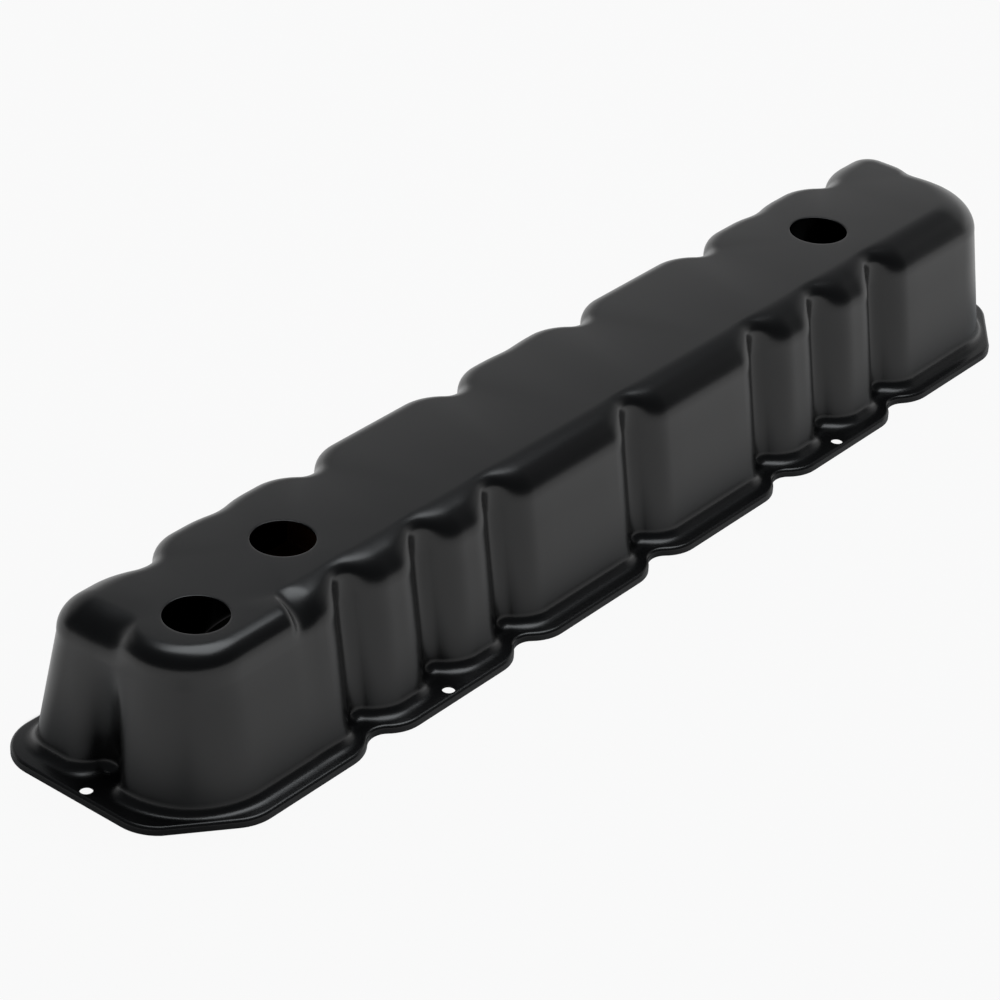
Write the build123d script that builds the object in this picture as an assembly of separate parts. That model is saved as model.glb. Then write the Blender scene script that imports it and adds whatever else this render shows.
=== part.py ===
from build123d import *
from math import atan2, cos, pi, radians, sin, sqrt, tan
import os

# Valve cover of an inline six, pressed from one sheet of steel.
# X runs along the engine, Y across it, Z up. The joint face is z = 0, and the origin is in the middle of the
# cover's length and width. The near side is -Y and the filler end is -X. All sizes are in mm.

# Sheet and main sizes
SHEET = 1.2
PITCH = 111.25
HEIGHT = 89.0
FLANGE_HALF_LENGTH = 357.0
FLANGE_HALF_WIDTH = 70.0
LIP_HEIGHT = 4.5
LIP_BEND = 1.9

# Drawn walls. The land is the flat of the flange between its edge and the foot fillet.
SIDE_LAND = 5.4
END_LAND = 6.5
FOOT_FILLET = 6.5
SIDE_DRAFT = 9.0
END_DRAFT = 6.0
NEAR_CORNER = 44.0
FAR_CORNER = 26.0
CORNER_FOLLOW = 0.8

# Round between wall and top: wide on the near side, tight on the far side and round the filler port, and in
# between on the right end and the far corners
TOP_ROUND = 20.0
END_ROUND = 17.0
TIGHT_ROUND = 11.0

# The tight round of the near side ends in a step with a shallow scoop beside it.
PAD_END = -260.0
PAD_STEP_HALF = 14.0
PAD_STEP_SHARE = 0.5
SCOOP_DEPTH = 2.0

# Valleys between the lobes. A half is the half width, a share is the shoulder's part of the two radii.
VALLEY_DEPTH = 12.0
NEAR_HALF = 23.2
NEAR_SHARE = 0.7
NEAR_FLOOR_ROUND = 8.0
FAR_HALF = 28.0
FAR_SHARE = 0.65
FAR_VALLEY_PLACES = (-280.5, -164.5, -53.0, 50.5, 162.0, 281.0)
DIMPLE_DEPTH = 2.2
MIDDLE_DIMPLE_DEPTH = 1.0
DIMPLE_HALF = 21.0
END_DEPTH_FOOT = 13.0
END_DEPTH_TOP = 1.0
END_HALF = 20.5
END_SHARE = 0.6
LEAST_DEPTH = 0.25
LEAST_LINE = 0.3

# Straight pieces that stand for each curve of the outlines, so that the solid stays light
SHOULDER_CHORDS = 3
FLOOR_CHORDS = 3
CORNER_CHORDS = 6

# Outline of the flange
END_STEP = 1.4
NOTCH_DEPTH = 9.6
NOTCH_HALF = 23.0
NOTCH_SHARE = 0.68
CHAMFER_LENGTH = 44.0
CHAMFER_WIDTH = 34.0
CHAMFER_ROUND = 26.0
FAR_FLANGE_ROUND = 26.0

# Holes
PORT_DIAMETER = 32.6
PORTS = ((-299.5, -16.0), (-2 * PITCH, 0.0), (226.5, 2.0))
BOLT_DIAMETER = 6.8
BOLT_EDGE = 5.5
SIDE_BOLT_SHIFT = -4.0
END_BOLT_OFFSET = 6.7

# Drip baffle under the second port
BAFFLE_SHEET = 0.9
BAFFLE_LENGTH = 55.0
BAFFLE_WIDTH = 44.0
BAFFLE_DROP = 22.0
BAFFLE_FOOT = 11.0
BAFFLE_BEND = 2.0

# Places along X that follow from the sizes above
SIDE_BOLTS = (SIDE_BOLT_SHIFT - 1.5 * PITCH, SIDE_BOLT_SHIFT + 1.5 * PITCH)
NEAR_NOTCHES = [k * PITCH for k in (-2, -1, 0, 1, 2)]
FAR_NOTCHES = [FAR_VALLEY_PLACES[k] for k in (0, 2, 3, 5)]
NEAR_VALLEYS = sorted([*NEAR_NOTCHES, -1.5 * PITCH, 1.5 * PITCH])
DIMPLES = [(-2 * PITCH, DIMPLE_DEPTH), (0.0, MIDDLE_DIMPLE_DEPTH), (2 * PITCH, DIMPLE_DEPTH)]
FAR_VALLEYS = [(x, VALLEY_DEPTH, FAR_HALF) for x in FAR_VALLEY_PLACES]
FAR_VALLEYS = sorted(FAR_VALLEYS + [(x, depth, DIMPLE_HALF) for x, depth in DIMPLES], reverse=True)


def line(p, q):
    return Edge.make_line((p[0], p[1], 0), (q[0], q[1], 0))


def bend(centre, radius, start, end, chords):
    """Edges along an arc, as that many chords."""
    angles = [start + (end - start) * k / chords for k in range(chords + 1)]
    points = [(centre[0] + radius * cos(a), centre[1] + radius * sin(a)) for a in angles]
    return [line(p, q) for p, q in zip(points, points[1:])]


def side(start, end, valleys):
    """Edges of one side from start to end, with the part on the left of the way of travel. Each valley is
    (place along the side, depth before, depth after, half width, share, growth): a shoulder, a floor and a
    shoulder that run into each other. The side goes on at the level of the far shoulder, so two different
    depths step it outwards or inwards. Growth moves the curve outwards along its normal."""
    length = sqrt((end[0] - start[0]) ** 2 + (end[1] - start[1]) ** 2)
    ax = (end[0] - start[0]) / length
    ay = (end[1] - start[1]) / length
    heading = atan2(ay, ax)

    def at(u, v):
        return (start[0] + ax * u - ay * v, start[1] + ay * u + ax * v)

    def curves(u, level, depth, half, share, grow, turned):
        """Shoulder and floor of half a valley whose shoulder begins at u. turned is -1 for the far half."""
        total = (half**2 + depth**2) / (2 * depth)
        shoulder = total * share + grow
        floor = total - shoulder
        tilt = heading + turned * atan2(half, total - depth)
        top = at(u, level + shoulder)
        low = at(u + turned * half, level + depth - floor)
        return (top, shoulder, heading - pi / 2, tilt - pi / 2), (low, floor, tilt + pi / 2, heading + pi / 2)

    edges = []
    u = 0.0
    level = 0.0
    for centre, before, after, half, *form in valleys:
        edges.append(line(at(u, level), at(centre - half, level)))
        (top, shoulder, a, b), (low, floor, c, d) = curves(centre - half, level, before, half, *form, 1)
        edges += bend(top, shoulder, a, b, SHOULDER_CHORDS) + bend(low, floor, c, d, FLOOR_CHORDS)
        u = centre + half
        level += before - after
        (top, shoulder, a, b), (low, floor, c, d) = curves(u, level, after, half, *form, -1)
        edges += bend(low, floor, d, c, FLOOR_CHORDS) + bend(top, shoulder, b, a, SHOULDER_CHORDS)
    edges.append(line(at(u, level), at(length, level)))
    return edges


def round_inset(z, radius, skin):
    """How far in from the wall the top round stands at height z, for a surface skin below the outside."""
    rise = z - (HEIGHT - radius)
    if rise <= 0:
        return skin
    return radius - sqrt(max((radius - skin) ** 2 - rise**2, 0.0))


def wall_outline(z, share, skin, out):
    """Closed outline of the drawn box at height z. share is how much of the draft is reached, skin how far the
    surface lies below the outside, and out how far the foot fillet still stands out, or None above it."""
    insets = [round_inset(z, radius, skin) for radius in (TOP_ROUND, TIGHT_ROUND, END_ROUND)]
    wide, tight, end = insets if out is None else (-out, -out, -out)
    grow = -skin if out is None else out
    scoop = LEAST_DEPTH
    near_depth = VALLEY_DEPTH
    if out is None:
        scoop += SCOOP_DEPTH * sin(pi * min(wide / TOP_ROUND, 1.0))
        near_depth = max(VALLEY_DEPTH + round_inset(z, NEAR_FLOOR_ROUND, skin) - wide, LEAST_DEPTH)
    end_depth = END_DEPTH_FOOT + (END_DEPTH_TOP - END_DEPTH_FOOT) * share

    x = FLANGE_HALF_LENGTH - END_LAND - FOOT_FILLET - END_DRAFT * share
    y = FLANGE_HALF_WIDTH - SIDE_LAND - FOOT_FILLET - SIDE_DRAFT * share
    near = NEAR_CORNER - CORNER_FOLLOW * wide - SIDE_DRAFT * share
    filler = NEAR_CORNER - CORNER_FOLLOW * tight - SIDE_DRAFT * share
    far = FAR_CORNER - CORNER_FOLLOW * end - SIDE_DRAFT * share
    near_x = x - wide - near
    near_y = wide + near - y
    filler_x = tight + filler - x
    filler_y = tight + filler - y
    far_x = x - end - far
    far_y = y - end - far

    def corner(centre, radius, start):
        return bend(centre, radius, start, start + pi / 2, CORNER_CHORDS)

    near_side = [(PAD_END - filler_x, wide - tight + scoop, scoop, PAD_STEP_HALF, PAD_STEP_SHARE, 0.0)]
    near_side += [(u - filler_x, near_depth, near_depth, NEAR_HALF, NEAR_SHARE, grow) for u in NEAR_VALLEYS]
    far_side = [[far_x - u, depth, depth, half, FAR_SHARE, grow] for u, depth, half in FAR_VALLEYS]
    far_side[0][1] -= end - tight
    far_side[-1][2] -= end - tight
    room = min(END_BOLT_OFFSET - near_y, END_BOLT_OFFSET - filler_y, far_y - END_BOLT_OFFSET)
    form = (min(END_HALF, room - LEAST_LINE), END_SHARE, grow)
    right_end = [(END_BOLT_OFFSET - near_y, end_depth, end_depth + wide - end, *form)]
    left_end = [(far_y - END_BOLT_OFFSET, end_depth, end_depth + end - tight, *form)]

    edges = side((filler_x, tight - y), (near_x, tight - y), near_side)
    edges += corner((near_x, near_y), near, -pi / 2)
    edges += side((x - wide, near_y), (x - wide, far_y), right_end)
    edges += corner((far_x, far_y), far, 0.0)
    edges += side((far_x, y - end), (-far_x, y - end), far_side)
    edges += corner((-far_x, far_y), far, pi / 2)
    edges += side((end - x, far_y), (end - x, filler_y), left_end)
    edges += corner((filler_x, filler_y), filler, pi)
    return Wire(edges).moved(Location((0, 0, z)))


def drawn_box(skin):
    """The drawn box as a solid, lofted from the flange through the foot fillet, the wall and the top round.
    skin is 0 for the outside and SHEET for the inside."""
    foot = LIP_HEIGHT + FOOT_FILLET
    shoulder = HEIGHT - TOP_ROUND
    wires = []
    for degrees in (0, 45, 90):
        a = radians(degrees)
        out = FOOT_FILLET - (FOOT_FILLET + skin) * sin(a)
        wires.append(wall_outline(foot - (FOOT_FILLET + skin) * cos(a), 0.0, skin, out))
    for degrees in (90, 60, 30, 0):
        z = shoulder + (TOP_ROUND - skin) * cos(radians(degrees))
        wires.append(wall_outline(z, 1.0, skin, None))
    return Solid.make_loft(wires, ruled=True)


def flange_outline(inset, z):
    """Outline of the flange moved in by inset: notches on both sides, chamfered near corners, round far ones."""
    x = FLANGE_HALF_LENGTH - inset
    y = FLANGE_HALF_WIDTH - END_STEP - inset
    lean = atan2(CHAMFER_WIDTH, CHAMFER_LENGTH)
    a = FLANGE_HALF_LENGTH - CHAMFER_LENGTH - inset * tan(lean / 2)
    b = FLANGE_HALF_WIDTH - END_STEP - CHAMFER_WIDTH - inset * tan(pi / 4 - lean / 2)
    r = FAR_FLANGE_ROUND - inset

    def notches(places):
        depths = [[NOTCH_DEPTH, NOTCH_DEPTH] for _ in places]
        depths[0][0] -= END_STEP
        depths[-1][1] -= END_STEP
        return [(u, *depth, NOTCH_HALF, NOTCH_SHARE, -inset) for u, depth in zip(places, depths)]

    edges = side((-a, -y), (a, -y), notches([u + a for u in NEAR_NOTCHES]))
    edges += [line((a, -y), (x, -b)), line((x, -b), (x, y - r))]
    edges += bend((x - r, y - r), r, 0.0, pi / 2, CORNER_CHORDS)
    edges += side((x - r, y), (r - x, y), notches([x - r - u for u in reversed(FAR_NOTCHES)]))
    edges += bend((r - x, y - r), r, pi / 2, pi, CORNER_CHORDS)
    edges += [line((-x, y - r), (-x, -b)), line((-x, -b), (-a, -y))]
    plan = Face(Wire(edges))
    near_ends = [v for v in plan.vertices() if v.Y < -b + 0.1 and abs(v.X) > a - 0.1]
    return plan.fillet_2d(CHAMFER_ROUND - inset, near_ends).outer_wire().moved(Location((0, 0, z)))


def flange_block(skin, steps, low):
    """The flange as a solid block with a rounded upper edge, lofted from low up to skin below its top."""
    centre = LIP_HEIGHT - LIP_BEND
    radius = LIP_BEND - skin
    wires = [flange_outline(skin, low)]
    for degrees in steps:
        a = radians(degrees)
        wires.append(flange_outline(LIP_BEND - radius * cos(a), centre + radius * sin(a)))
    return Solid.make_loft(wires, ruled=True)


def valve_cover():
    """One pressing: the outside solid less the inside one, then pierced."""
    outside = flange_block(0.0, (0, 45, 90), 0.0) + drawn_box(0.0)
    inside = flange_block(SHEET, (0, 90), -SHEET) + drawn_box(SHEET)
    cover = outside - inside
    ports = [Pos(x, y, HEIGHT) * Cylinder(PORT_DIAMETER / 2, 4 * SHEET) for x, y in PORTS]
    end_x = FLANGE_HALF_LENGTH - BOLT_EDGE
    side_y = FLANGE_HALF_WIDTH - BOLT_EDGE
    bolts = [(x, s * side_y) for x in SIDE_BOLTS for s in (-1, 1)]
    bolts += [(s * end_x, END_BOLT_OFFSET) for s in (-1, 1)]
    holes = [Pos(x, y, LIP_HEIGHT) * Cylinder(BOLT_DIAMETER / 2, 4 * SHEET) for x, y in bolts]
    return cover - ports - holes


def oil_baffle():
    """Hat-shaped drip baffle, spot-welded by its two feet to the underside of the top."""
    half = BAFFLE_LENGTH / 2
    foot_z = HEIGHT - SHEET - BAFFLE_SHEET / 2
    web_z = foot_z - BAFFLE_DROP
    points = [(-half - BAFFLE_FOOT, foot_z), (-half, foot_z), (-half, web_z)]
    points += [(-x, z) for x, z in reversed(points)]
    path = FilletPolyline(*points, radius=BAFFLE_BEND)
    section = Plane.XZ * trace(path, BAFFLE_SHEET)
    hat = extrude(section, BAFFLE_WIDTH / 2, both=True)
    x, y = PORTS[1]
    return Pos(x, y, 0) * hat


if __name__ == "__main__":
    os.makedirs("parts", exist_ok=True)
    for name, shape in (("valve_cover", valve_cover()), ("oil_baffle", oil_baffle())):
        solid = shape.solids()[0]
        solid.label = name
        print(name, solid.is_valid, len(shape.solids()), round(solid.volume, 1), solid.bounding_box())
        export_step(solid, "parts/" + name + ".step")
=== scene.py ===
# %% [markdown]
# # Valve cover of an inline six
# A valve cover closes the top of an engine over the rocker gear. This one is a single pressing of steel
# sheet, painted black. Its long walls are drawn in between the cylinders and at the bolts, which gives it a
# row of lobes and valleys. This script dresses the imported solids for a studio picture, step by step.

import bpy
import bmesh
from math import atan2, cos, hypot, pi, radians, sin, sqrt, tan
from mathutils import Matrix, Vector


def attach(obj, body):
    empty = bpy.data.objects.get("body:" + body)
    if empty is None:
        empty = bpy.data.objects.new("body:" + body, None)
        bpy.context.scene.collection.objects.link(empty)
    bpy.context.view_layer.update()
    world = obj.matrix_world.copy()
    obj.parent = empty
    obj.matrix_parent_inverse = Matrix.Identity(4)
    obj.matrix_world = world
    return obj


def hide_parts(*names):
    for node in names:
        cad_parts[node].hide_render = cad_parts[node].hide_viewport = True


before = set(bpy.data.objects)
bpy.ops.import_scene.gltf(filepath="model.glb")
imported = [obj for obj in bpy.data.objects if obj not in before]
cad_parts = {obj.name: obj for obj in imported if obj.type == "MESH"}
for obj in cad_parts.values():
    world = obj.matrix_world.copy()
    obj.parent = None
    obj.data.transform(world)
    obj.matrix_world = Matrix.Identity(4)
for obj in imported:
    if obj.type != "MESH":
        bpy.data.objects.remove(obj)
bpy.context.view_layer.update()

# %% [markdown]
# ## Overall sizes
# Everything is worked out in millimetres, as on the drawing of a press tool, and scaled to metres when the
# mesh is done. The pitch is the distance between two cylinders, and the valleys and bolts are set out by
# it.

# %% Overall sizes in millimetres
SHEET = 1.2
PITCH = 111.25
HEIGHT = 89.0
HALF_LENGTH = 357.0
HALF_WIDTH = 70.0
LIP_HEIGHT = 4.5
print("cover:", 2 * HALF_LENGTH, "by", 2 * HALF_WIDTH, "by", HEIGHT)

# %% [markdown]
# ## One side of the outline
# In plan, a side of the cover is a straight line with valleys. Each half of a valley is two arcs that run
# into each other, a round shoulder and a round floor. They follow from the valley's depth, its half width
# and the share of the two radii that the shoulder gets. A curve object could draw such a line too. Arcs
# that are walked one after the other always give the same number of points, though, and the loft further
# down needs that.

# %% Arcs of a valley
LEAST_LINE = 0.3


def arc_points(centre, radius, start, end, count):
    """Points on an arc, without the last one."""
    angles = [start + (end - start) * i / count for i in range(count)]
    return [(centre[0] + radius * cos(a), centre[1] + radius * sin(a)) for a in angles]


def half_arcs(depth, half, share, grow):
    """Shoulder radius, floor radius and turn of half a valley of that depth and half width."""
    total = (half**2 + depth**2) / (2 * depth)
    shoulder = min(total * share + grow, total - LEAST_LINE)
    return shoulder, total - shoulder, atan2(half, total - depth)


print("arcs of a valley 12 deep and 46 wide:", [round(a, 2) for a in half_arcs(12, 23, 0.7, 0)])

# %% Walk along a side and note its points
ARC_POINTS = 8
FLOOR_POINTS = 6
LINE_POINTS = 5
CORNER_POINTS = 18


def side_points(start, end, valleys):
    """Points of one side. Each valley is (place along the side, depth before, depth after, half width,
    share of the shoulders in the arcs, growth of the shoulders)."""
    length = sqrt((end[0] - start[0]) ** 2 + (end[1] - start[1]) ** 2)
    ax, ay = (end[0] - start[0]) / length, (end[1] - start[1]) / length
    flat = []
    u, level = 0.0, 0.0
    for centre, before, after, half, share, grow in valleys:
        bottom = level + before
        first = centre - half
        flat += [(u + (first - u) * i / LINE_POINTS, level) for i in range(LINE_POINTS)]
        shoulder, floor, turn = half_arcs(before, half, share, grow)
        flat += arc_points((first, level + shoulder), shoulder, -pi / 2, -pi / 2 + turn, ARC_POINTS)
        flat += arc_points((centre, bottom - floor), floor, pi / 2 + turn, pi / 2, FLOOR_POINTS)
        level = bottom - after
        u = centre + half
        shoulder, floor, turn = half_arcs(after, half, share, grow)
        flat += arc_points((centre, bottom - floor), floor, pi / 2, pi / 2 - turn, FLOOR_POINTS)
        flat += arc_points((u, level + shoulder), shoulder, -pi / 2 - turn, -pi / 2, ARC_POINTS)
    flat += [(u + (length - u) * i / LINE_POINTS, level) for i in range(LINE_POINTS)]
    return [(start[0] + ax * a - ay * b, start[1] + ay * a + ax * b) for a, b in flat]


print("points on a side with one valley:", len(side_points((0, 0), (100, 0), [(50, 12, 12, 23, 0.7, 0)])))

# %% [markdown]
# ## Sizes of the walls
# A wall stands on the land, the level strip of the flange, and starts with a foot fillet. It leans in by
# its draft, so that the pressing comes off the die, and ends in the top round. The top round is wide on the
# near side, tight on the far side and on the filler pad, and between the two at the far corners. In plan, a
# corner grows with the foot fillet and shrinks with the top round. Its "follow" says by what share. The
# left end is the one with the filler port.

# %% Walls, rounds and corners
SIDE_LAND = 5.4
END_LAND = 6.5
FOOT_FILLET = 6.5
SIDE_DRAFT = 9.0
END_DRAFT = 6.0
TOP_ROUND = 20.0
END_ROUND = 17.0
LEFT_ROUND = 19.0
TIGHT_ROUND = 11.0
NEAR_CORNER = 44.0
FAR_CORNER = 26.0
LEFT_CORNER = 18.0
CORNER_FOLLOW = 0.8
RIGHT_FOLLOW = 0.4
LEFT_FOLLOW = 0.7
FOOT_FOLLOW = 1.65
print("straight part of the near wall:", HEIGHT - TOP_ROUND - LIP_HEIGHT - FOOT_FILLET, "high")

# %% [markdown]
# ## Sizes of the valleys
# The valleys on the near side stand between the cylinders, one at every pitch, and two more stand halfway,
# at the side bolts. On the far side they are wider, and shallow dimples stand between them. They are lists
# of places, because that is quicker to fit to a photograph than a mesh that is moved by hand.

# %% Places and depths of the valleys
VALLEY_DEPTH = 12.0
LEAST_DEPTH = 0.25
NEAR_HALF = 23.2
NEAR_SHARE = 0.7
NEAR_FLOOR_ROUND = 8.0
NEAR_NOTCHES = [k * PITCH for k in (-2, -1, 0, 1, 2)]
NEAR_VALLEYS = sorted([*NEAR_NOTCHES, -1.5 * PITCH, 1.5 * PITCH])
FAR_HALF = 28.0
FAR_SHARE = 0.65
FAR_VALLEY_PLACES = (-280.5, -164.5, -53.0, 50.5, 162.0, 281.0)
DIMPLE_DEPTH = 2.2
MIDDLE_DIMPLE_DEPTH = 1.0
DIMPLE_HALF = 21.0
DIMPLES = [(-2 * PITCH, DIMPLE_DEPTH), (0.0, MIDDLE_DIMPLE_DEPTH), (2 * PITCH, DIMPLE_DEPTH)]
FAR_VALLEYS = [(x, VALLEY_DEPTH, FAR_HALF) for x in FAR_VALLEY_PLACES]
FAR_VALLEYS = sorted(FAR_VALLEYS + [(x, depth, DIMPLE_HALF) for x, depth in DIMPLES], reverse=True)
print("valleys near:", len(NEAR_VALLEYS), "valleys and dimples far:", len(FAR_VALLEYS))

# %% [markdown]
# ## Ends and filler pad
# One valley in each end wall makes room for the end bolt. It is deep at the foot and nearly gone at the
# top. The pad round the filler port stands out further than the rest of the top, and a step with a small
# scoop leads over to it. The step is made like a valley that comes back to another level, so it needs no
# shape of its own.

# %% End valleys and filler pad
END_BOLT_OFFSET = 6.7
END_DEPTH_FOOT = 13.0
END_DEPTH_TOP = 1.0
END_HALF = 20.5
END_SHARE = 0.6
PAD_END = -258.0
PAD_STEP_HALF = 12.0
PAD_STEP_SHARE = 0.5
SCOOP_DEPTH = 3.0
print("filler pad:", HALF_LENGTH + PAD_END, "long")

# %% [markdown]
# ## Height by height
# The wall is a stack of such outlines. At the foot they flare out in the fillet, up the wall they lean in
# with the draft, and in the top round they close in while the valleys die out. One function gives the
# outline at any height, and that is all a loft needs.

# %% Outline of the drawn walls at a height


def round_inset(z, radius):
    """How far in from the wall the top round stands at height z."""
    rise = z - (HEIGHT - radius)
    return 0.0 if rise <= 0 else radius - sqrt(max(radius**2 - rise**2, 0.0))


def wall_ring(z, share, out=None):
    """Points of the wall's outline at height z. share says how much of the draft is reached there, and out
    how far the foot fillet stands out."""
    insets = [round_inset(z, radius) for radius in (TOP_ROUND, TIGHT_ROUND, END_ROUND, LEFT_ROUND)]
    wide, tight, end, left = insets if out is None else (-out, -out, -out, -out)
    grow = 0.0 if out is None else out
    scoop = LEAST_DEPTH
    near_depth = VALLEY_DEPTH
    if out is None:
        scoop += SCOOP_DEPTH * sin(pi * wide / TOP_ROUND)
        near_depth = max(VALLEY_DEPTH + round_inset(z, NEAR_FLOOR_ROUND) - wide, LEAST_DEPTH)
    end_depth = END_DEPTH_FOOT + (END_DEPTH_TOP - END_DEPTH_FOOT) * share
    # Where the walls stand at this height, without the top round or the foot fillet.
    x = HALF_LENGTH - END_LAND - FOOT_FILLET - END_DRAFT * share
    y = HALF_WIDTH - SIDE_LAND - FOOT_FILLET - SIDE_DRAFT * share
    # Radius and centre of each corner: near right, at the filler port, far right, far left.
    near = NEAR_CORNER - (RIGHT_FOLLOW if out is None else FOOT_FOLLOW) * wide - SIDE_DRAFT * share
    filler = NEAR_CORNER - (CORNER_FOLLOW if out is None else FOOT_FOLLOW) * tight - SIDE_DRAFT * share
    far = FAR_CORNER - CORNER_FOLLOW * end - SIDE_DRAFT * share
    lobe = LEFT_CORNER - LEFT_FOLLOW * left
    near_x, near_y = x - wide - near, wide + near - y
    filler_x, filler_y = tight + filler - x, tight + filler - y
    far_x, far_y = x - end - far, y - end - far
    lobe_x, lobe_y = left + lobe - x, y - left - lobe
    # Valleys of each side. An end valley is no wider than the corners beside it leave room for.
    near_side = [(PAD_END - filler_x, wide - tight + scoop, scoop, PAD_STEP_HALF, PAD_STEP_SHARE, 0.0)]
    near_side += [(u - filler_x, near_depth, near_depth, NEAR_HALF, NEAR_SHARE, grow) for u in NEAR_VALLEYS]
    far_side = [[far_x - u, depth, depth, half, FAR_SHARE, grow] for u, depth, half in FAR_VALLEYS]
    far_side[0][1] -= end - tight
    far_side[-1][2] -= left - tight
    room = min(END_BOLT_OFFSET - near_y, far_y - END_BOLT_OFFSET) - LEAST_LINE
    left_room = min(END_BOLT_OFFSET - filler_y, lobe_y - END_BOLT_OFFSET) - LEAST_LINE
    half, left_half = min(END_HALF, room), min(END_HALF, left_room)
    right_end = [(END_BOLT_OFFSET - near_y, end_depth, end_depth + wide - end, half, END_SHARE, grow)]
    left_end = [(lobe_y - END_BOLT_OFFSET, end_depth, end_depth + left - tight, left_half, END_SHARE, grow)]
    # Once round, starting at the filler pad along the near side.
    ring = side_points((filler_x, tight - y), (near_x, tight - y), near_side)
    ring += arc_points((near_x, near_y), near, -pi / 2, 0, CORNER_POINTS)
    ring += side_points((x - wide, near_y), (x - wide, far_y), right_end)
    ring += arc_points((far_x, far_y), far, 0, pi / 2, CORNER_POINTS)
    ring += side_points((far_x, y - end), (lobe_x, y - end), far_side)
    ring += arc_points((lobe_x, lobe_y), lobe, pi / 2, pi, CORNER_POINTS)
    ring += side_points((left - x, lobe_y), (left - x, filler_y), left_end)
    ring += arc_points((filler_x, filler_y), filler, pi, 3 * pi / 2, CORNER_POINTS)
    return [(a, b, z) for a, b in ring]


print("points in an outline:", len(wall_ring(HEIGHT / 2, 0.5)))

# %% Stack the outlines
FOOT_STEPS = 6
WALL_STEPS = 5
ROUND_STEPS = 16


def wall_rings():
    """The stack of outlines from the flange to the flat top."""
    foot = LIP_HEIGHT + FOOT_FILLET
    shoulder = HEIGHT - TOP_ROUND
    rings = []
    for step in range(FOOT_STEPS):
        a = radians(90 * step / FOOT_STEPS)
        rings.append(wall_ring(foot - FOOT_FILLET * cos(a), 0.0, FOOT_FILLET * (1 - sin(a))))
    rings.append(wall_ring(foot, 0.0, 0.0))
    for step in range(1, WALL_STEPS + 1):
        rings.append(wall_ring(foot + (shoulder - foot) * step / WALL_STEPS, step / WALL_STEPS))
    for step in range(1, ROUND_STEPS + 1):
        a = radians(90 - 90 * step / ROUND_STEPS)
        rings.append(wall_ring(shoulder + TOP_ROUND * cos(a), 1.0))
    return rings


print("outlines in the stack:", len(wall_rings()))

# %% [markdown]
# ## Flange
# The flange takes the bolts and presses the gasket. Its edge is turned down into a lip, which stiffens it.
# It follows the valleys with notches, except where a valley holds a bolt, and its near corners are cut off
# at an angle. The same walk along the sides draws it, with an inset for the bend at the top of the lip.

# %% Sizes of the flange
LIP_BEND = 1.9
END_STEP = 1.4
NOTCH_DEPTH = 9.6
NOTCH_HALF = 23.0
NOTCH_SHARE = 0.68
FAR_NOTCHES = [FAR_VALLEY_PLACES[k] for k in (0, 2, 3, 5)]
CHAMFER_LENGTH = 44.0
CHAMFER_WIDTH = 34.0
CHAMFER_ROUND = 26.0
CHAMFER_POINTS = 8
FAR_FLANGE_ROUND = 26.0
print("notches near:", len(NEAR_NOTCHES), "far:", len(FAR_NOTCHES))

# %% Outline of the flange


def notches(places, inset):
    """The notches at places, as valleys. The flange stands further in beyond the first and the last one."""
    depths = [[NOTCH_DEPTH, NOTCH_DEPTH] for _ in places]
    depths[0][0] -= END_STEP
    depths[-1][1] -= END_STEP
    return [(u, *depth, NOTCH_HALF, NOTCH_SHARE, -inset) for u, depth in zip(places, depths)]


def flange_ring(inset, z):
    """Points of the flange's outline moved in by inset."""
    x, y = HALF_LENGTH - inset, HALF_WIDTH - END_STEP - inset
    lean = atan2(CHAMFER_WIDTH, CHAMFER_LENGTH)
    a = HALF_LENGTH - CHAMFER_LENGTH - inset * tan(lean / 2)
    b = HALF_WIDTH - END_STEP - CHAMFER_WIDTH - inset * tan(pi / 4 - lean / 2)
    r, c = FAR_FLANGE_ROUND - inset, CHAMFER_ROUND - inset
    trim_a, trim_b = c * tan(lean / 2), c * tan(pi / 4 - lean / 2)
    near_notches = notches([u + a - trim_a for u in NEAR_NOTCHES], inset)
    far_notches = notches([x - r - u for u in reversed(FAR_NOTCHES)], inset)
    ring = side_points((trim_a - a, -y), (a - trim_a, -y), near_notches)
    ring += arc_points((a - trim_a, c - y), c, -pi / 2, lean - pi / 2, CHAMFER_POINTS)
    ring += arc_points((x - c, trim_b - b), c, lean - pi / 2, 0, CHAMFER_POINTS)
    ring += side_points((x, trim_b - b), (x, y - r), [])
    ring += arc_points((x - r, y - r), r, 0, pi / 2, CORNER_POINTS)
    ring += side_points((x - r, y), (r - x, y), far_notches)
    ring += arc_points((r - x, y - r), r, pi / 2, pi, CORNER_POINTS)
    ring += side_points((-x, y - r), (-x, trim_b - b), [])
    ring += arc_points((c - x, trim_b - b), c, pi, 3 * pi / 2 - lean, CHAMFER_POINTS)
    ring += arc_points((trim_a - a, c - y), c, 3 * pi / 2 - lean, 3 * pi / 2, CHAMFER_POINTS)
    return [(p, q, z) for p, q in ring]


print("points in the flange's outline:", len(flange_ring(0.0, 0.0)))

# %% [markdown]
# ## Press the sheet
# One closed ring of edges is extruded from outline to outline, which is a loft made by hand. Bridging loose
# rings would do too, but it may pair the points of two outlines anew, while an extrusion keeps them in
# step.

# %% Rings of edges


def new_ring(bm, points):
    """A closed ring of edges through points."""
    verts = [bm.verts.new(p) for p in points]
    for i, v in enumerate(verts):
        bm.edges.new((v, verts[i - 1]))
    return verts


def ring_edges(verts):
    """The edges that join a ring's neighbours."""
    pairs = [(v, verts[i - 1]) for i, v in enumerate(verts)]
    return [next(e for e in v.link_edges if e.other_vert(v) is w) for v, w in pairs]


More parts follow.
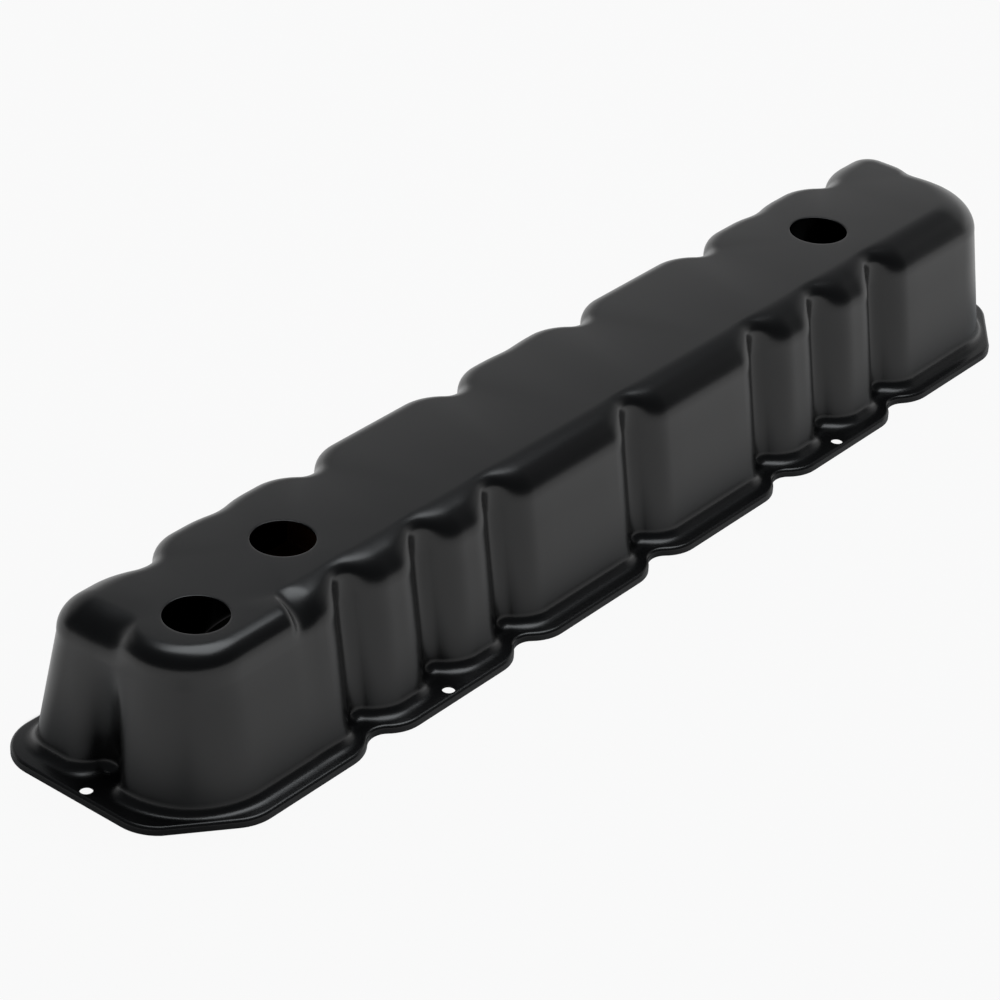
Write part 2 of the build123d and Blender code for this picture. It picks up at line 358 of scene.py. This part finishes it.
def loft_on(bm, verts, points):
    """Extrudes a ring of edges and moves the new ring to points. Returns the new ring."""
    made = bmesh.ops.extrude_edge_only(bm, edges=ring_edges(verts))["geom"]
    fresh = {g for g in made if isinstance(g, bmesh.types.BMVert)}
    ring = []
    for v, p in zip(verts, points):
        w = next(e.other_vert(v) for e in v.link_edges if e.other_vert(v) in fresh)
        w.co = p
        ring.append(w)
    return ring


bm = bmesh.new()
outlines = wall_rings()
foot_edge = new_ring(bm, outlines[0])
print("edges round the foot:", len(ring_edges(foot_edge)))

# %% Loft the walls
top_edge = foot_edge
for outline in outlines[1:]:
    top_edge = loft_on(bm, top_edge, outline)
print("walls:", len(bm.faces), "faces")

# %% [markdown]
# ## Flat top
# The top is level and has three round ports, for the filler cap and two grommets. It is filled between its
# edge and the rims. Triangles do here, because a level face shades the same however it is cut up. Each port
# gets a narrow collar of regular faces, so that the shading of its eased edge doesn't reach into the long
# triangles.

# %% Fill the flat top round the ports
PORTS = ((-299.5, -16.0), (-2 * PITCH, 0.0), (226.5, 2.0))
PORT_RADIUS = 16.3
PORT_COLLAR = 1.5
PORT_SEGMENTS = 96
LEVEL = 1e-4


def hole(bm, x, y, z, radius, segments):
    """The rim of a round hole, as a ring of edges."""
    at = Matrix.Translation((x, y, z))
    return bmesh.ops.create_circle(bm, radius=radius, segments=segments, matrix=at)["verts"]


def fill(bm, rings):
    """Level faces between rings."""
    edges = {e for ring in rings for v in ring for e in v.link_edges if e.other_vert(v) in set(ring)}
    level = [e for e in edges if abs(e.verts[0].co.z - e.verts[1].co.z) < LEVEL]
    bmesh.ops.triangle_fill(bm, use_beauty=True, use_dissolve=False, edges=level)


rims = [hole(bm, x, y, HEIGHT, PORT_RADIUS + PORT_COLLAR, PORT_SEGMENTS) for x, y in PORTS]
fill(bm, [top_edge] + rims)
for rim, (x, y) in zip(rims, PORTS):
    k = PORT_RADIUS / (PORT_RADIUS + PORT_COLLAR)
    loft_on(bm, rim, [(x + k * (v.co.x - x), y + k * (v.co.y - y), HEIGHT) for v in rim])
print("walls and top:", len(bm.faces), "faces")

# %% [markdown]
# ## Flange land and lip
# The land is filled in the same way, between the foot of the wall, the bolt holes and the start of the
# bend. From there the ring of edges goes on round the bend and down to the joint face, as the press would
# fold it.

# %% Fill the flange land round the bolt holes
BOLT_RADIUS = 3.4
BOLT_EDGE = 5.5
BOLT_SEGMENTS = 32
SIDE_BOLT_SHIFT = -4.0
SIDE_BOLTS = (SIDE_BOLT_SHIFT - 1.5 * PITCH, SIDE_BOLT_SHIFT + 1.5 * PITCH)
land_edge = new_ring(bm, flange_ring(LIP_BEND, LIP_HEIGHT))
bolts = [(x, s * (HALF_WIDTH - BOLT_EDGE)) for x in SIDE_BOLTS for s in (-1, 1)]
bolts += [(s * (HALF_LENGTH - BOLT_EDGE), END_BOLT_OFFSET) for s in (-1, 1)]
holes = [hole(bm, x, y, LIP_HEIGHT, BOLT_RADIUS, BOLT_SEGMENTS) for x, y in bolts]
fill(bm, [foot_edge, land_edge] + holes)
print("bolt holes:", len(bolts))

# %% Turn the lip down
BEND_STEPS = 6
lip_edge = land_edge
for step in range(1, BEND_STEPS + 1):
    a = radians(90 * step / BEND_STEPS)
    inset, z = LIP_BEND * (1 - sin(a)), LIP_HEIGHT - LIP_BEND * (1 - cos(a))
    lip_edge = loft_on(bm, lip_edge, flange_ring(inset, z))
loft_on(bm, lip_edge, flange_ring(0.0, 0.0))
print("sheet:", len(bm.faces), "faces")

# %% [markdown]
# ## Thickness
# So far the sheet has no thickness. Solidify adds the inside face, which shows through the ports and from
# below, and closes the edges. It goes along the normals, so they are made to agree and to point outwards
# first. A modifier could do the same, but the upper edges of the ports are eased afterwards, on the
# finished mesh.

# %% Give the sheet its thickness
bmesh.ops.recalc_face_normals(bm, faces=bm.faces[:])
top = max(bm.faces, key=lambda f: f.calc_center_median().z)
if top.normal.z < 0:
    bmesh.ops.reverse_faces(bm, faces=bm.faces[:])
bmesh.ops.solidify(bm, geom=bm.faces[:], thickness=SHEET)
print("with both sides:", len(bm.faces), "faces")

# %% Ease the upper edges of the ports
PORT_EDGE = 0.4
NEARBY = 0.01


def on_rim(v):
    """Whether a point lies on the upper edge of a port."""
    reach = PORT_RADIUS + NEARBY
    return v.co.z > HEIGHT - NEARBY and any(hypot(v.co.x - x, v.co.y - y) < reach for x, y in PORTS)


rim_edges = [e for e in bm.edges if all(on_rim(v) for v in e.verts)]
bmesh.ops.bevel(
    bm,
    geom=rim_edges,
    offset=PORT_EDGE,
    offset_type="OFFSET",
    segments=3,
    profile=0.5,
    affect="EDGES",
    material=-1,
)
print("edges eased at the ports:", len(rim_edges))

# %% [markdown]
# ## From mesh to piece
# The mesh is scaled to metres and becomes an object. It shades smooth, with a crease only where two faces
# meet at more than 50 degrees, as at the lower edge of the lip. It takes the place of the plain solid.

# %% Make the cover
MILLIMETRE = 0.001
CREASE = 50
bmesh.ops.scale(bm, vec=(MILLIMETRE, MILLIMETRE, MILLIMETRE), verts=bm.verts[:])
mesh = bpy.data.meshes.new("pressed_cover")
bm.to_mesh(mesh)
bm.free()
for polygon in mesh.polygons:
    polygon.use_smooth = True
mesh.set_sharp_from_angle(angle=radians(CREASE))
cover = bpy.data.objects.new("pressed_cover", mesh)
bpy.context.scene.collection.objects.link(cover)
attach(cover, "root")
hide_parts("valve_cover")
print("cover:", len(mesh.polygons), "faces", [round(1000 * d, 2) for d in cover.dimensions])

# %% [markdown]
# ## Shader maths
# A finish is a graph of nodes. Two small classes make one read like arithmetic. The first wraps a socket,
# so that a sum or a product adds its own Math node. The second makes any other node from its type, settings
# and values.

# %% Sockets and node trees


class Wire:
    """A socket in a node tree that takes part in arithmetic."""

    def __init__(self, tree, socket):
        self.tree = tree
        self.socket = socket

    def math(self, operation, *others):
        return self.tree.node("ShaderNodeMath", {"operation": operation}, self, *others)

    def __add__(self, other):
        return self.math("ADD", other)

    def __radd__(self, other):
        return self.math("ADD", other)

    def __mul__(self, other):
        return self.math("MULTIPLY", other)

    def __rmul__(self, other):
        return self.math("MULTIPLY", other)

    def __abs__(self):
        return self.math("ABSOLUTE")


class Finish:
    """A material's or world's node tree, with one method that makes a node."""

    def __init__(self, owner):
        owner.use_nodes = True
        self.tree = owner.node_tree
        self.tree.nodes.clear()

    def node(self, kind, settings=None, *values, out=0, **named):
        made = self.tree.nodes.new(kind)
        for key, value in (settings or {}).items():
            setattr(made, key, value)
        for key, value in [*enumerate(values), *named.items()]:
            socket = made.inputs[key.replace("_", " ") if isinstance(key, str) else key]
            if isinstance(value, Wire):
                self.tree.links.new(value.socket, socket)
            else:
                socket.default_value = value
        return Wire(self, made.outputs[out]) if made.outputs else made


paint = bpy.data.materials.new("black_paint_finish")
shade = Finish(paint)
print("empty finish:", paint.name)

# %% [markdown]
# ## Black paint
# The cover is painted in a half-gloss black. Nearly all that shows is what the paint mirrors, so its own
# colour is almost nothing and the roughness decides the look. A very weak bump gives it the slight waves of
# a pressed sheet and a fine grain. A picture of paint could do that too, but noise needs no file and has no
# seams.

# %% Paint on the cover
PAINT_COLOUR = (0.003, 0.003, 0.0033, 1)
PAINT_ROUGHNESS = 0.27
GRAIN_SHARE = 0.15
place = shade.node("ShaderNodeTexCoord", out="Object")
grain = shade.node("ShaderNodeTexNoise", None, Vector=place, Scale=900.0, Detail=2.0)
waves = shade.node("ShaderNodeTexNoise", None, Vector=place, Scale=28.0, Detail=1.0)
relief = grain * GRAIN_SHARE + waves
bump = shade.node("ShaderNodeBump", None, Strength=0.02, Distance=0.001, Height=relief)
look = {"Base_Color": PAINT_COLOUR, "Roughness": PAINT_ROUGHNESS, "IOR": 1.5, "Normal": bump}
body = shade.node("ShaderNodeBsdfPrincipled", None, **look)
shade.node("ShaderNodeOutputMaterial", None, Surface=body)
mesh.materials.append(paint)
print("paint:", len(paint.node_tree.nodes), "nodes")

# %% [markdown]
# ## Bare steel
# The drip baffle under the second port keeps oil out of the breather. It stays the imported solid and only
# gets a finish: unpainted steel under a brown film of old oil. The film is uneven, and a noise in the
# roughness shows that without a second layer of shading.

# %% Steel of the baffle
STEEL_COLOUR = (0.25, 0.14, 0.07, 1)
STEEL_ROUGHNESS = 0.4
STAIN_ROUGHNESS = 0.3
steel = bpy.data.materials.new("bare_steel_finish")
shade = Finish(steel)
place = shade.node("ShaderNodeTexCoord", out="Object")
stain = shade.node("ShaderNodeTexNoise", None, Vector=place, Scale=120.0, Detail=4.0)
uneven = stain * STAIN_ROUGHNESS + STEEL_ROUGHNESS
look = {"Base_Color": STEEL_COLOUR, "Roughness": uneven, "Metallic": 1.0}
body = shade.node("ShaderNodeBsdfPrincipled", None, **look)
shade.node("ShaderNodeOutputMaterial", None, Surface=body)
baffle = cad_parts["oil_baffle"]
for material_slot in baffle.material_slots:
    material_slot.material = steel
print("steel:", len(steel.node_tree.nodes), "nodes on", baffle.name)

# %% [markdown]
# ## Floor
# The cover stands on a pale sheet of paper that looks close to pure white. Lamps strong enough for that
# would wash out the black paint, so the paper answers each ray by who asks. The camera sees it white,
# except under the cover, so that the ports look into the dark. The paint mirrors it bright where it lies
# open, and grey close to the cover, which is painted shade for the shadow the cover would cast there.
# Everything else sees plain grey paper.

# %% Sheet of paper
FLOOR_REACH = 6.0
FLOOR_DROP = 0.0002
bm = bmesh.new()
bmesh.ops.create_grid(bm, x_segments=1, y_segments=1, size=FLOOR_REACH)
floor_mesh = bpy.data.meshes.new("floor")
bm.to_mesh(floor_mesh)
bm.free()
floor = bpy.data.objects.new("floor", floor_mesh)
bpy.context.scene.collection.objects.link(floor)
floor.location.z = -FLOOR_DROP
print("floor:", [round(d, 2) for d in floor.dimensions], "m")

# %% Where the paper is white to the camera
END_EDGE = (0.310, 0.330)
NEAR_EDGE = (-0.035, -0.050)
# Beyond the far flange this fade leaves a narrow band of grey paper, a painted contact shadow.
FAR_EDGE = (0.066, 0.074)


def fade(value, bounds, kind="LINEAR"):
    """A fade from 0 at the first bound to 1 at the second."""
    start, end = bounds
    settings = {"interpolation_type": kind}
    return value.tree.node("ShaderNodeMapRange", settings, Value=value, From_Min=start, From_Max=end)


pale = bpy.data.materials.new("pale_floor")
shade = Finish(pale)
place = shade.node("ShaderNodeTexCoord", out="Object")
along = shade.node("ShaderNodeSeparateXYZ", None, Vector=place, out="X")
across = shade.node("ShaderNodeSeparateXYZ", None, Vector=place, out="Y")
beside = fade(across, NEAR_EDGE).math("MAXIMUM", fade(across, FAR_EDGE))
outside = beside.math("MAXIMUM", fade(abs(along), END_EDGE))
print("mask under the cover:", len(pale.node_tree.nodes), "nodes")

# %% Where the mirrored paper is painted grey round the cover
PAINTED_SHADE_END = (0.35, 0.44)
PAINTED_SHADE_SIDE = (0.05, 0.13)
painted_shade_end_fade = fade(abs(along), PAINTED_SHADE_END, "SMOOTHSTEP")
painted_shade_side_fade = fade(abs(across), PAINTED_SHADE_SIDE, "SMOOTHSTEP")
clear_of_painted_shade = painted_shade_end_fade.math("MAXIMUM", painted_shade_side_fade)
print("both masks:", len(pale.node_tree.nodes), "nodes")

# %% Paper
PAPER_GREY = (0.45, 0.45, 0.45, 1)
WHITE = (1, 1, 1, 1)
WHITE_TO_CAMERA = 0.93
WHITE_IN_MIRROR = 0.82
direct = shade.node("ShaderNodeLightPath", out="Is Camera Ray")
mirrored = shade.node("ShaderNodeLightPath", out="Is Glossy Ray")
# Mirrored rays see white paper in the open and plain grey paper near the cover, a painted shadow.
share = direct * outside * WHITE_TO_CAMERA + mirrored * clear_of_painted_shade * WHITE_IN_MIRROR
white = shade.node("ShaderNodeEmission", None, Color=WHITE, Strength=1.0)
plain = shade.node("ShaderNodeBsdfDiffuse", None, Color=PAPER_GREY)
paper = shade.node("ShaderNodeMixShader", None, share, plain, white)
shade.node("ShaderNodeOutputMaterial", None, Surface=paper)
floor_mesh.materials.append(pale)
print("paper:", len(pale.node_tree.nodes), "nodes")

# %% [markdown]
# ## Room
# The camera sees white all round. The paint sees a dim room with a pale backdrop behind the cover. It fades
# out between 25 and 45 degrees up, which is the part that the flat top mirrors, and gives the top a soft
# grey. Lower down a strip makes it brighter, for the far edges. The near rounds mirror the dim side and
# stay dark. A picture of a studio could light the cover too, but these few fades are easier to set.

# %% World
ROOM_COLOUR = (0.9, 0.95, 1.0, 1)
ROOM_LIGHT = 0.09
BACKDROP = (0.70, 0.42)
BACKDROP_LIGHT = 0.5
STRIP = (0.30, 0.10)
STRIP_LIGHT = 0.5
BEHIND = (0.1, 0.6)
AWAY = (0.78, 0.62, 0.0)
world = bpy.data.worlds.new("studio")
bpy.context.scene.world = world
shade = Finish(world)
outlook = shade.node("ShaderNodeTexCoord", out="Generated")
rise = shade.node("ShaderNodeSeparateXYZ", None, Vector=outlook, out="Z")
away = shade.node("ShaderNodeVectorMath", {"operation": "DOT_PRODUCT"}, outlook, AWAY, out="Value")
pale_part = fade(rise, BACKDROP, "SMOOTHSTEP") * BACKDROP_LIGHT + fade(rise, STRIP, "SMOOTHSTEP") * STRIP_LIGHT
room = shade.node("ShaderNodeBackground", None, Color=ROOM_COLOUR, Strength=ROOM_LIGHT)
sweep = shade.node("ShaderNodeBackground", None, Color=WHITE, Strength=1.0)
around = shade.node("ShaderNodeMixShader", None, pale_part * fade(away, BEHIND, "SMOOTHSTEP"), room, sweep)
direct = shade.node("ShaderNodeLightPath", out="Is Camera Ray")
seen = shade.node("ShaderNodeMixShader", None, direct, around, sweep)
shade.node("ShaderNodeOutputWorld", None, Surface=seen)
print("world:", len(world.node_tree.nodes), "nodes")

# %% [markdown]
# ## Soft box
# One large soft box hangs over the cover, as a photographer would hang it. It lays the pale patches on the
# top round beside the near valleys, where the surface leans far enough towards the camera to mirror it. A
# smaller lamp would make them small and glaring.

# %% Soft box over the cover
BOX_PLACE = Vector((0.35, 0.1, 2.1))
BOX_AIM = Vector((0.05, 0.0, 0.0))
BOX_SIZE = (1.7, 1.5)
BOX_POWER = 28
BOX_COLOUR = (0.93, 0.97, 1.0)
key_light = bpy.data.lights.new("key_box", "AREA")
key_light.shape = "RECTANGLE"
key_light.size, key_light.size_y = BOX_SIZE
key_light.energy = BOX_POWER
key_light.color = BOX_COLOUR
key_box = bpy.data.objects.new("key_box", key_light)
key_box.location = BOX_PLACE
key_box.rotation_euler = (BOX_AIM - BOX_PLACE).to_track_quat("-Z", "Y").to_euler()
bpy.context.scene.collection.objects.link(key_box)
print("soft box:", round((BOX_AIM - BOX_PLACE).length, 2), "m from the cover")

# %% [markdown]
# ## Camera
# A long lens looks down at the filler end from the near side, as in the photograph. Its place and angles
# were fitted to the outline of the flange and the top. The camera's axes follow from the three angles and
# become the columns of its matrix. Rotation angles would do too, but a roll about the lens is easier to add
# in this way.

# %% Axes of the camera
YAW, DOWNWARD, ROLL = radians(38.6), radians(31.4), radians(-2.4)
forward = Vector((cos(DOWNWARD) * cos(YAW), cos(DOWNWARD) * sin(YAW), -sin(DOWNWARD)))
right = forward.cross(Vector((0, 0, 1))).normalized()
down = forward.cross(right)
right, down = cos(ROLL) * right + sin(ROLL) * down, -sin(ROLL) * right + cos(ROLL) * down
print("camera looks along", [round(d, 3) for d in forward])

# %% Camera
SENSOR = 36.0
FOCAL_PER_WIDTH = 3.5779
SHIFT = (0.0021, 0.0003)
CAMERA_PLACE = (-1.3041, -0.9954, 1.0106)
CAMERA_REACH = 50.0
lens = bpy.data.cameras.new("camera")
lens.sensor_width = SENSOR
lens.lens = SENSOR * FOCAL_PER_WIDTH
lens.shift_x, lens.shift_y = SHIFT
lens.clip_end = CAMERA_REACH
camera = bpy.data.objects.new("camera", lens)
turn = Matrix((right, -down, -forward)).transposed()
camera.matrix_world = Matrix.Translation(CAMERA_PLACE) @ turn.to_4x4()
bpy.context.scene.collection.objects.link(camera)
bpy.context.scene.camera = camera
bpy.context.scene.view_settings.view_transform = "Standard"
print("lens:", round(lens.lens, 1), "mm")
